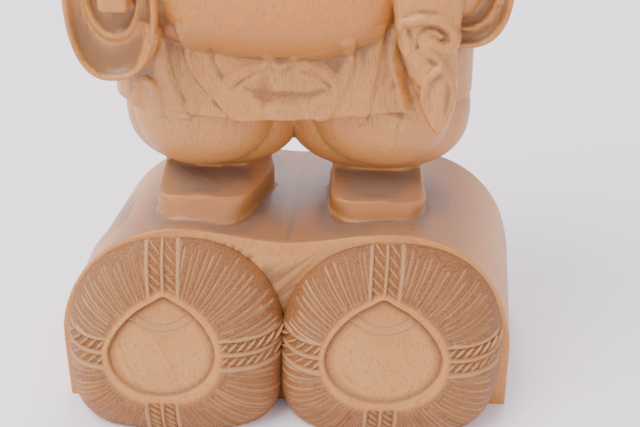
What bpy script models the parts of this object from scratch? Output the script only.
"""A lucky god standing on two straw rice bales, carved from one block of wood.

The base is a pair of bales lying side by side under one smooth straw mat, and the
figure stands on the mat: booted feet, puffed trousers, a pleated robe, a bare round
belly, hanging sleeves, a mallet in one hand and a sack held over the shoulder by the
other. Nothing is jointed or glued on, so the whole carving is one object.
+X is to the viewer's right, +Y is away from the viewer, +Z is up, and the origin is
the middle of the flat underside.
"""
import math

import bmesh
import bpy
from mathutils import Vector

for old in list(bpy.data.objects):
    bpy.data.objects.remove(old, do_unlink=True)

# The base, in metres
BASE_WIDTH = 0.2465
BASE_DEPTH = 0.103
BASE_HEIGHT = 0.112
SIDE_HEIGHT = 0.038
BALE_SPACING = 0.113
BALE_SEAM = -0.002
SADDLE_DIP = 0.0063
BACK_LEAN = 0.012
BACK_SPREAD = 0.005
RIGHT_FLARE = 0.0045
FLARE_START = 0.058
BELOW_FLOOR = 0.010
MAT_EDGE = 0.0045
BALE_BULGE = 0.033
BALE_SINK = 0.031
BALE_UNDERCUT = 0.014
BALE_MEETING = 0.002
BALE_LEAN = 0.25
LEAN_START = 0.022
STRAW_DEPTH = 0.0009
STRAW_RIDGES = 32
ROPE_HEIGHT = 0.0012
RECESS_DEPTH = 0.0032
RECESS_DEPTH_LOW = 0.0012
RECESS_WIDTH = 0.0572
RECESS_HEIGHT = 0.0539
RECESS_SHIFT = 0.0085
RIGHT_RECESS_WIDTH = 0.0638
RIGHT_RECESS_HEIGHT = 0.0562
RIGHT_RECESS_SHIFT = 0.0047
RECESS_BELOW = 0.445
PEAK_LEAN = 0.0015
RECESS_RISE = 0.0125
RECESS_LIP = 0.0007
RECESS_WALL = 0.965

# Roundness of the base's curves: 2 is an ellipse, more is squarer, less is more pointed
BALE_ROUND_LOW = 3.2
BALE_ROUND_TOP = 2.3
JEWEL_ROUND_LOW = 2.1
JEWEL_ROUND_TOP = 1.56

# The figure, whose forms are shares of its height: U is one three-hundredth of it
FIGURE_HEIGHT = 0.298
FIGURE_SHIFT = 0.0018
U = FIGURE_HEIGHT / 300
FEET_SINK = 12

# The joined block is skinned afresh on a fine grid, and this share of its faces is kept
SKIN_GRID = 0.0012
FACES_KEPT = 0.0150

WOOD_COLOUR = (0.60, 0.35, 0.17, 1.0)
WOOD_ROUGHNESS = 0.45

carving = bpy.data.collections.new("daikoku_statue")
forms = bpy.data.collections.new("carved_forms")
bpy.context.scene.collection.children.link(carving)
bpy.context.scene.collection.children.link(forms)


def add_mesh(name, points, faces):
    """Make a closed form with its faces pointing out, as an operand of the union."""
    mesh = bpy.data.meshes.new(name)
    mesh.from_pydata([tuple(p) for p in points], [], faces)
    bm = bmesh.new()
    bm.from_mesh(mesh)
    bmesh.ops.recalc_face_normals(bm, faces=bm.faces)
    bm.to_mesh(mesh)
    bm.free()
    form = bpy.data.objects.new(name, mesh)
    form.hide_render = True
    form.display_type = "WIRE"
    forms.objects.link(form)
    return form


def loft(name, rings):
    """Skin a row of closed rings that all have the same number of points."""
    count = len(rings[0])
    points = [p for ring in rings for p in ring]
    faces = []
    for row in range(len(rings) - 1):
        for k in range(count):
            nxt = (k + 1) % count
            faces.append((row * count + k, row * count + nxt,
                          (row + 1) * count + nxt, (row + 1) * count + k))
    faces.append(tuple(range(count)))
    last = (len(rings) - 1) * count
    faces.append(tuple(last + k for k in reversed(range(count))))
    return add_mesh(name, points, faces)


def oval_reach(angle, left, right, down, up, power_down, power_up):
    """Distance to a closed curve made of four superellipse quarters."""
    c = math.cos(angle)
    s = math.sin(angle)
    wide = right if c > 0 else left
    tall = up if s > 0 else down
    power = power_up if s > 0 else power_down
    return (abs(c / wide) ** power + abs(s / tall) ** power) ** (-1 / power)


def oval(centre, left, right, down, up, power_down, power_up, count):
    """Points of such a curve, at even angles about its centre."""
    points = []
    for k in range(count):
        angle = 2 * math.pi * k / count
        reach = oval_reach(angle, left, right, down, up, power_down, power_up)
        points.append((centre[0] + reach * math.cos(angle), centre[1] + reach * math.sin(angle)))
    return points


def blend(a, b, t):
    return a + (b - a) * t


def smooth_rows(rows, steps):
    """Run a smooth curve through rows of numbers, with steps new rows in each gap."""
    result = []
    for i in range(len(rows) - 1):
        p0 = rows[max(i - 1, 0)]
        p1 = rows[i]
        p2 = rows[i + 1]
        p3 = rows[min(i + 2, len(rows) - 1)]
        for s in range(steps):
            t = s / steps
            row = []
            for a, b, c, d in zip(p0, p1, p2, p3):
                row.append(0.5 * (2 * b + (c - a) * t + (2 * a - 5 * b + 4 * c - d) * t ** 2
                                  + (3 * b - a - 3 * c + d) * t ** 3))
            result.append(row)
    result.append(list(rows[-1]))
    return result


def figure_point(x, y, h):
    """A place on the figure: right, back and up from the mat's top, in units of U."""
    return (FIGURE_SHIFT + x * U, y * U, BASE_HEIGHT + h * U)


def puff(name, centre, radii, power=2.0, tilt=0.0, narrow=1.0, columns=40, rows=24):
    """A rounded form, from a sphere to a soft box, whose right half may be narrower."""
    bm = bmesh.new()
    bmesh.ops.create_uvsphere(bm, u_segments=columns, v_segments=rows, radius=1.0)
    turn = math.radians(tilt)
    for v in bm.verts:
        size = sum(abs(c) ** power for c in v.co) ** (1 / power)
        x, y, z = (c / size * r for c, r in zip(v.co, radii))
        x *= narrow if x > 0 else 1.0
        x, z = x * math.cos(turn) + z * math.sin(turn), z * math.cos(turn) - x * math.sin(turn)
        v.co = figure_point(centre[0] + x, centre[1] + y, centre[2] + z)
    mesh = bpy.data.meshes.new(name)
    bm.to_mesh(mesh)
    bm.free()
    form = bpy.data.objects.new(name, mesh)
    form.hide_render = True
    form.display_type = "WIRE"
    forms.objects.link(form)
    return form


def limb(name, path, sides=16, steps=4):
    """A tapering limb along a curved path of (x, y, h, radius)."""
    rows = smooth_rows(path, steps)
    rings = []
    for i, row in enumerate(rows):
        before = Vector(rows[max(i - 1, 0)][:3])
        after = Vector(rows[min(i + 1, len(rows) - 1)][:3])
        along = (after - before).normalized()
        side = along.cross(Vector((0, 1, 0.1))).normalized()
        out = side.cross(along)
        ring = []
        for k in range(sides):
            angle = 2 * math.pi * k / sides
            p = Vector(row[:3]) + row[3] * (side * math.cos(angle) + out * math.sin(angle))
            ring.append(figure_point(*p))
        rings.append(ring)
    return loft(name, rings)


def mat_height(x, dip):
    """Height of the mat over the two bales, at x from the middle."""
    crest = BALE_SPACING / 2
    if abs(x) < crest:
        from_seam = (x - BALE_SEAM) / (crest - BALE_SEAM * math.copysign(1, x - BALE_SEAM))
        return BASE_HEIGHT - dip * (0.5 + 0.5 * math.cos(math.pi * from_seam))
    share = min((abs(x) - crest) / (BASE_WIDTH / 2 - crest), 1.0)
    return SIDE_HEIGHT + (BASE_HEIGHT - SIDE_HEIGHT) * math.sqrt(1 - share ** 2)


def mat_ring(y, dip, shift, spread):
    """Cross-section of the mat and the bales under it."""
    half = BASE_WIDTH / 2
    crest = BALE_SPACING / 2
    shoulder = 16
    saddle = 24
    side = [(half, -BELOW_FLOOR), (half, SIDE_HEIGHT / 2), (half, SIDE_HEIGHT)]
    for k in range(1, shoulder):
        angle = math.pi / 2 * k / shoulder
        x = crest + (half - crest) * math.cos(angle)
        side.append((x, mat_height(x, dip)))
    ring = [(-x, z) for x, z in side]
    for k in range(saddle + 1):
        x = crest * (2 * k / saddle - 1)
        ring.append((x, mat_height(x, dip)))
    for x, z in reversed(side):
        flare = RIGHT_FLARE * max(0.0, (FLARE_START - z) / FLARE_START)
        ring.append((x * (1 + spread / half) + flare, z))
    return [(x + shift, y, z) for x, z in ring]


def bale_face(height):
    """How far a bale end stands out of the block at a height: it leans back as it rises."""
    return BALE_BULGE - BALE_LEAN * max(0.0, height - LEAN_START)


def bale_end(name, side, facing, sectors, recess_width, recess_height, recess_shift):
    """One domed end of a bale: straw ridges run from the mat's edge to a jewel recess."""
    crest = BALE_SPACING / 2
    outer = BASE_WIDTH / 2 - crest - MAT_EDGE
    inner = crest + side * -BALE_SEAM + BALE_MEETING
    left, right = (outer, inner) if side < 0 else (inner, outer)
    up = BASE_HEIGHT - SIDE_HEIGHT - MAT_EDGE
    down = SIDE_HEIGHT + BALE_UNDERCUT
    centre = (side * crest, SIDE_HEIGHT)
    middle = (centre[0] - recess_shift, SIDE_HEIGHT + RECESS_RISE)
    rim = oval(centre, left, right, down, up, BALE_ROUND_LOW, BALE_ROUND_TOP, sectors)
    jewel = oval(middle, recess_width / 2, recess_width / 2, recess_height * RECESS_BELOW,
                 recess_height * (1 - RECESS_BELOW), JEWEL_ROUND_LOW, JEWEL_ROUND_TOP, sectors)
    jewel = [(x - side * PEAK_LEAN * min(max(2 * (z - middle[1]) / recess_height, 0.0), 1.0), z)
             for x, z in jewel]
    plane = BASE_DEPTH / 2
    shift = BACK_LEAN if facing > 0 else 0.0
    rings = [[(x + shift, facing * (plane - BALE_SINK), z) for x, z in rim]]
    for share in (0.995, 0.95, 0.85, 0.70, 0.50, 0.30, 0.18, 0.10, 0.07):
        ring = []
        for k in range(sectors):
            x = blend(jewel[k][0], rim[k][0], share)
            z = blend(jewel[k][1], rim[k][1], share)
            lowness = min(max(0.5 - 0.9 * math.sin(2 * math.pi * k / sectors), 0.0), 1.0)
            out = bale_face(z) * (1 - share ** 2.4) ** (0.72 - 0.26 * lowness)
            if 0.15 < share < 0.96:
                out += STRAW_DEPTH * (-1) ** k
                if quarter_distance(k, sectors) <= sectors // 32:
                    out += ROPE_HEIGHT
            if share < 0.1:
                out += RECESS_LIP
            ring.append((x + shift, facing * (plane + out), z))
        rings.append(ring)
    lowest = middle[1] - RECESS_BELOW * recess_height
    for scale, sunk in ((1.0, 0.0), (RECESS_WALL, 1.0), (0.5, 1.0)):
        ring = []
        for x, z in jewel:
            z = blend(middle[1], z, scale)
            depth = blend(RECESS_DEPTH_LOW, RECESS_DEPTH, (z - lowest) / recess_height)
            ring.append((blend(middle[0], x, scale) + shift,
                         facing * (plane + bale_face(z) - sunk * depth), z))
        rings.append(ring)
    return loft(name, rings)


def quarter_distance(k, sectors):
    """How many sectors lie between sector k and the nearest pair of ropes."""
    quarter = sectors // 4
    step = k % quarter
    return min(step, quarter - step)


def foot(name, toe_middle, heel_middle, toe_half, heel_half, low_front, top_front, toe_top):
    """A block boot: upright toe rounded out at the mat, top sloping up to the ankle."""
    rows = [(-FEET_SINK, 0, low_front - 2, 12), (0, 0, low_front, 11),
            (toe_top - 1.6, 0, top_front, 9.5), (toe_top, -0.6, top_front + 2, 9),
            (17.4, -1.6, -11, 9), (19, -2, -8, 9), (40, -3, -6, 9)]
    toe_rounding = 13.0
    rings = []
    for h, grow, front, back in rows:
        rounding = toe_rounding * min(max(1 - h / 12, 0.12), 1.0)
        ring = []
        for sx, sy in oval((0, 0), 1, 1, 1, 1, 8, 8, 40):
            share = (sy + 1) / 2
            x = blend(toe_middle, heel_middle, share)
            half = blend(toe_half, heel_half, share) + grow
            y = blend(front + rounding * sx ** 4, back, share)
            ring.append(figure_point(x + half * sx, y, h))
        rings.append(ring)
    return loft(name, rings)


def distance_to(x, h, path):
    """Distance from a place on the robe's front to a carved line, and the side it is on."""
    best = 1e9
    side = 1.0
    for (ax, ah), (bx, bh) in zip(path, path[1:]):
        dx = bx - ax
        dh = bh - ah
        t = max(0.0, min(1.0, ((x - ax) * dx + (h - ah) * dh) / (dx * dx + dh * dh)))
        away = math.hypot(x - ax - t * dx, h - ah - t * dh)
        if away < best:
            best = away
            side = 1.0 if dx * (h - ah) - dh * (x - ax) > 0 else -1.0
    return best, side


# Pleats of the robe's front, as lines of (x, height) with their width and depth
ROBE_GROOVES = [
    ([(-63, 104), (-61.5, 86), (-58.5, 76), (-52.5, 60)], 3.0, 2.0),
    ([(-55, 104), (-52.6, 88.6), (-50, 82), (-43, 73.4), (-29, 58)], 3.0, 2.4),
    ([(-40.5, 96), (-37, 84), (-34.7, 81)], 2.5, 1.4),
    ([(20.8, 96), (20.9, 86.6), (15.4, 72), (9, 60)], 3.0, 2.0),
    ([(27.8, 98), (27.4, 89), (24.7, 79), (16.5, 60)], 3.0, 1.8),
    ([(41.5, 106), (40.7, 94), (38.6, 77), (35.5, 61)], 3.0, 2.2),
    ([(45.3, 108), (44.9, 92), (49.2, 78.5), (54, 63)], 3.0, 1.8),
]
ROBE_RIDGES = [
    ([(-32.3, 79), (-24.2, 85), (-14.2, 88.6)], 3.6, 2.0),
    ([(18.6, 81), (11.3, 86.3), (0.6, 89)], 3.6, 2.0),
    ([(-13, 91.6), (-7.4, 87.2), (-1.2, 91.6)], 2.8, 1.6),
]
# The rounded fold beside the left sleeve: middle x, height, half width, reach up, height of relief
SIDE_FOLD = (-74.3, 61, 9, 15, 2.2)
# The scoop under the sash: middle x, half width, upper and lower edge, depth
APRON_SCOOP = (-4.6, 22, 77, 68, 2.0)


def robe_relief(x, h):
    """How far the robe's front stands out from its plain round, in units of U."""
    out = 0.0
    for path, width, depth in ROBE_GROOVES:
        away, side = distance_to(x, h, path)
        out -= depth * max(0.0, 1 - away / width)
        out += 0.4 * depth * side * math.exp(-away / (2 * width))
    for path, width, depth in ROBE_RIDGES:
        away, side = distance_to(x, h, path)
        out += depth * max(0.0, 1 - (away / width) ** 2)
    middle, low, half, reach, height = SIDE_FOLD
    out += height * max(0.0, 1 - ((x - middle) / half) ** 2 - ((h - low) / reach) ** 2) ** 0.4
    middle, half, top, low, depth = APRON_SCOOP
    share = (x - middle) / half
    low_here = low + (top - low) * share ** 2
    if abs(share) < 1 and low_here < h < top:
        out -= depth * (h - low_here) / (top - low_here)
    return out


def robe_hem(x):
    """Height of the robe's lower edge: it rises to the right, and in a step on the left."""
    right_rise = 5.5 * min(max((x + 5) / 65, 0.0), 1.0)
    left_step = 3.0 * min(max((-x - 50) / 4, 0.0), 1.0)
    left_fall = 3.0 * min(max((-x - 56) / 22, 0.0), 1.0)
    return 59.5 + right_rise + left_step - left_fall


def robe(name):
    """The robe's lower part: a wide pleated tube with a thick hem."""
    front_columns = 150
    back_columns = 24
    levels = 36
    top = 112
    half = 94
    deep = 48
    power = 2.6
    waist_inset = 3.0
    outline = []
    for k in range(front_columns + 1):
        across = 2 * k / front_columns - 1
        across = 0.6 * across + 0.4 * math.sin(math.pi / 2 * across)
        outline.append((half * across, -deep * (1 - abs(across) ** power) ** (1 / power)))
    for k in range(1, back_columns):
        angle = math.pi * k / back_columns
        reach = oval_reach(angle, half, half, deep, deep, power, power)
        outline.append((reach * math.cos(angle), reach * math.sin(angle)))
    rings = []
    for level in range(-2, levels):
        ring = []
        for x, y in outline:
            reach = math.hypot(x, y)
            low = robe_hem(x)
            share = max(level, 0) / (levels - 1)
            h = blend(low, top, share)
            inset = {-2: 14.0, -1: 4.0}.get(level, 0.0)
            if level == -2:
                h = low + 3
            inset += waist_inset * share
            scale = 1 - inset / reach
            if level >= 0 and y < 0:
                scale += robe_relief(x, h) / reach
            if level >= 0 and y > 0:
                scale += 1.6 * math.cos(x / 6) * (1 - share) / reach
            ring.append(figure_point(x * scale - 1, y * scale + 2, h))
        rings.append(ring)
    return loft(name, rings)


def torso(name):
    """Robe above the waist, the shoulders and the neck."""
    rows = [(104, 90, 44, 50, 2.6), (140, 89, 44, 50, 2.6), (168, 84, 42, 46, 2.5),
            (188, 70, 36, 40, 2.3), (203, 46, 30, 32, 2.1), (222, 36, 26, 28, 2.0)]
    rings = []
    for h, half, front, back, power in smooth_rows(rows, 5):
        ring = oval((-1, 2), half, half, front, back, power, power, 64)
        rings.append([figure_point(x, y, h) for x, y in ring])
    return loft(name, rings)


def sleeve(name, centre, sizes, cuff, cuff_sizes, front, depth, drop):
    """A hanging sleeve: an open pouch with a thin rim, a hollow, and an inner sleeve in it."""
    count = 56
    outline = oval(centre, *sizes, 2.4, 2.4, count)
    inner = oval(cuff, *cuff_sizes, 2.2, 2.2, count)
    rings = []
    for inset, back in ((8, depth), (3, depth * 0.7), (0.5, 22), (0, 10), (0, 2), (0.9, 0), (2.0, 0),
                        (3.0, 2.0), (5, 4.2), (8, 5.4)):
        ring = []
        for x, h in outline:
            reach = math.hypot(x - centre[0], h - centre[1])
            scale = 1 - inset / reach
            ring.append(figure_point(blend(centre[0], x, scale), front + back,
                                     blend(centre[1], h, scale)))
        rings.append(ring)
    for scale, back in ((1.2, 6.2), (1.06, 5.4), (1.0, 3.0), (0.92, 3.0), (0.84, 5 + drop * 0.7),
                        (0.76, 5 + drop)):
        rings.append([figure_point(blend(cuff[0], x, scale), front + back,
                                   blend(cuff[1], h, scale)) for x, h in inner])
    return loft(name, rings)


def sack_flap(name):
    """The gathered mouth of the sack, hanging in front like a folded leaf."""
    rows = [(60, 68.6, 71.4, 5, 46), (65, 65, 73.5, 6, 42), (70, 62, 75, 7, 38), (80, 57, 77.6, 8, 36),
            (90, 54, 77, 9, 34), (98, 51, 75.6, 9, 34), (108, 48, 75.4, 9, 34), (130, 43, 77, 9, 34),
            (150, 44, 80, 9, 34), (172, 52, 84, 9, 30), (190, 60, 84, 6, 26)]
    rings = []
    for h, left, right, front, back in smooth_rows(rows, 3):
        middle = (left + right) / 2
        half = (right - left) / 2
        ring = oval((middle, -50), half, half, front, 50 - back, 2.8, 2.8, 40)
        rings.append([figure_point(x, y, h) for x, y in ring])
    return loft(name, rings)


def turned(name, centre, rows, sides=48):
    """A round form about a level axis from side to side, from rows of (x, radius)."""
    rings = []
    for x, radius in rows:
        ring = []
        for k in range(sides):
            angle = 2 * math.pi * k / sides
            ring.append(figure_point(centre[0] + x, centre[1] + radius * math.cos(angle),
                                     centre[2] + radius * math.sin(angle)))
        rings.append(ring)
    return loft(name, rings)


def bar(name, x, y, low, high, half):
    """A square bar standing upright."""
    rings = []
    for h in (low, high):
        rings.append([figure_point(x + sx * half, y + sy * half, h)
                      for sx, sy in ((-1, -1), (1, -1), (1, 1), (-1, 1))])
    return loft(name, rings)


def base_forms():
    half = BASE_DEPTH / 2
    rows = 16
    rings = []
    for k in range(rows + 1):
        share = k / rows
        dip = blend(SADDLE_DIP, SADDLE_DIP * 0.4, share)
        rings.append(mat_ring(blend(-half, half, share), dip, BACK_LEAN * share, BACK_SPREAD * share))
    parts = [loft("mat_and_bales", rings)]
    for side, *recess in ((-1, RECESS_WIDTH, RECESS_HEIGHT, RECESS_SHIFT),
                          (1, RIGHT_RECESS_WIDTH, RIGHT_RECESS_HEIGHT, RIGHT_RECESS_SHIFT)):
        parts.append(bale_end("front_bale_end", side, -1, 2 * STRAW_RIDGES, *recess))
        parts.append(bale_end("back_bale_end", side, 1, STRAW_RIDGES, *recess))
    return parts


def leg_forms():
    return [
        foot("left_foot", -49, -39.5, 24.6, 30, -43, -36.4, 11),
        foot("right_foot", 46, 46, 25.8, 26, -36.5, -34.6, 9.8),
        puff("left_trouser_back", (-44.5, 12, 46.5), (48.5, 36, 34), 2.4),
        puff("left_trouser_front", (-48, -9, 58.5), (37.5, 30.5, 37), 2.4, -6),
        puff("right_trouser_back", (45, 12, 47), (51, 36, 34), 2.4),
        puff("right_trouser_front", (46, -9, 61), (37.5, 30.5, 37), 2.4, 6),
    ]


def body_forms():
    return [
        robe("robe_skirt"),
        torso("robe_body"),
        puff("belly", (-3, -15, 141.5), (89, 50, 57), 2.5, 0.0, 0.68, 56, 36),
    ]


def arm_forms():
    return [
        limb("right_arm", [(-66, 4, 184, 22), (-88, -4, 166, 24), (-90, -22, 156, 21),
                           (-84, -44, 158, 17), (-81, -58, 164, 12)]),
        sleeve("right_sleeve", (-85, 123), (19, 23, 39, 36), (-82, 127), (12.5, 12, 23, 24),
               -62, 66, 5),
        puff("right_sleeve_fold", (-80, -20, 150), (18, 28, 24), 2.2),
        bar("mallet_handle", -80.5, -60, 118.5, 190, 6.5),
        puff("right_hand", (-80, -62, 168), (15, 13, 14), 2.4),
        turned("mallet_head", (-80, -60, 203), [(-30, 20), (-28, 22), (-22, 22), (-20, 20),
                                                (20, 20), (22, 22), (28, 22), (30, 20)]),
        limb("left_arm", [(66, 4, 184, 22), (88, -2, 170, 24), (92, -20, 166, 22),
                          (84, -38, 176, 17), (76, -48, 190, 13)]),
        sleeve("left_sleeve", (79, 127), (19, 20, 26, 36), (79, 129), (12, 14, 20, 22),
               -50, 56, 6),
        puff("inner_sleeve", (77, -44, 132), (9, 7, 18), 2.0, 6),
        puff("left_hand", (72, -50, 192), (14, 12, 14), 2.3),
        puff("left_sleeve_fold", (78, -16, 152), (20, 26, 28), 2.2),
        sack_flap("sack_flap"),
        puff("flap_leaf", (67.5, -58, 80), (7, 4.5, 18), 1.8, 3),
        limb("flap_curl", [(50, -57, 114, 2.6), (53, -58, 116.5, 3), (59, -59, 117.5, 3.2),
                           (65, -59, 116.6, 3.2), (70, -58, 113.6, 3.2), (72.4, -57, 109, 3.2),
                           (71, -57, 104.6, 3), (66.5, -58, 104, 2.8), (62, -58, 106.5, 2.4)]),
    ]


def sack_forms():
    return [
        puff("sack", (22, 46, 168), (78, 38, 78), 2.3),
        limb("sack_neck", [(40, 40, 222, 34), (62, 18, 224, 26), (72, -12, 214, 17),
                           (72, -38, 202, 11), (72, -50, 192, 10)]),
    ]


def head_forms():
    parts = [
        puff("head", (-2, -10, 240), (45, 41, 48), 2.2),
        puff("chin", (-2, -22, 212), (24, 22, 15), 2.0),
        limb("nose", [(-2, -50, 256, 4), (-2, -54, 246, 6), (-2, -56, 239, 8), (-2, -50, 236, 6)]),
        limb("cap_band", [(-2, -46, 264, 7), (-34, -34, 265, 7), (-48, -6, 262, 7), (-40, 24, 256, 7),
                          (-2, 36, 252, 7), (36, 24, 256, 7), (44, -6, 262, 7), (30, -34, 265, 7),
                          (-2, -46, 264, 7)]),
        puff("cap", (-2, 2, 276), (57, 50, 24), 2.2),
        puff("cap_back", (-2, 24, 238), (38, 20, 30), 2.3),
        puff("lower_lip", (-2, -49, 222), (9, 4, 2.6), 2.0),
        puff("upper_lip", (-2, -50, 227), (12, 4, 2.4), 2.0),
    ]
    for side in (-1, 1):
        middle = -2 + side
        parts.append(puff("cheek", (middle + side * 20, -38, 231), (16, 12, 13), 2.0))
        parts.append(puff("eye", (middle + side * 17, -44, 250), (11, 6, 5), 2.0, side * 6))
        parts.append(puff("ear", (middle + side * 46, -8, 240), (5, 9, 16), 2.0))
        parts.append(puff("ear_lobe", (middle + side * 46, -12, 221), (5.5, 7, 11), 2.0))
    return parts


def carve(parts):
    """Join every form into one block, then saw it off flat underneath."""
    body = parts[0]
    body.name = "daikoku_statue"
    body.hide_render = False
    body.display_type = "TEXTURED"
    forms.objects.unlink(body)
    carving.objects.link(body)
    for part in parts[1:]:
        join = body.modifiers.new(part.name, "BOOLEAN")
        join.operation = "UNION"
        join.solver = "MANIFOLD"
        join.object = part
    skin = body.modifiers.new("skin", "REMESH")
    skin.mode = "VOXEL"
    skin.voxel_size = SKIN_GRID
    thin = body.modifiers.new("thin_out", "DECIMATE")
    thin.ratio = FACES_KEPT
    floor = 0.6
    bm = bmesh.new()
    bmesh.ops.create_cube(bm, size=floor)
    bmesh.ops.translate(bm, verts=bm.verts, vec=(0, 0, -floor / 2))
    mesh = bpy.data.meshes.new("floor_cut")
    bm.to_mesh(mesh)
    bm.free()
    cutter = bpy.data.objects.new("floor_cut", mesh)
    cutter.hide_render = True
    cutter.display_type = "WIRE"
    forms.objects.link(cutter)
    cut = body.modifiers.new("floor_cut", "BOOLEAN")
    cut.operation = "DIFFERENCE"
    cut.solver = "MANIFOLD"
    cut.object = cutter
    return body


def wood():
    material = bpy.data.materials.new("carved_wood")
    material.use_nodes = True
    shader = material.node_tree.nodes["Principled BSDF"]
    shader.inputs["Base Color"].default_value = WOOD_COLOUR
    shader.inputs["Roughness"].default_value = WOOD_ROUGHNESS
    shader.inputs["Metallic"].default_value = 0.0
    return material


statue = carve(base_forms() + leg_forms() + body_forms() + arm_forms() + sack_forms() + head_forms())
statue.data.materials.append(wood())
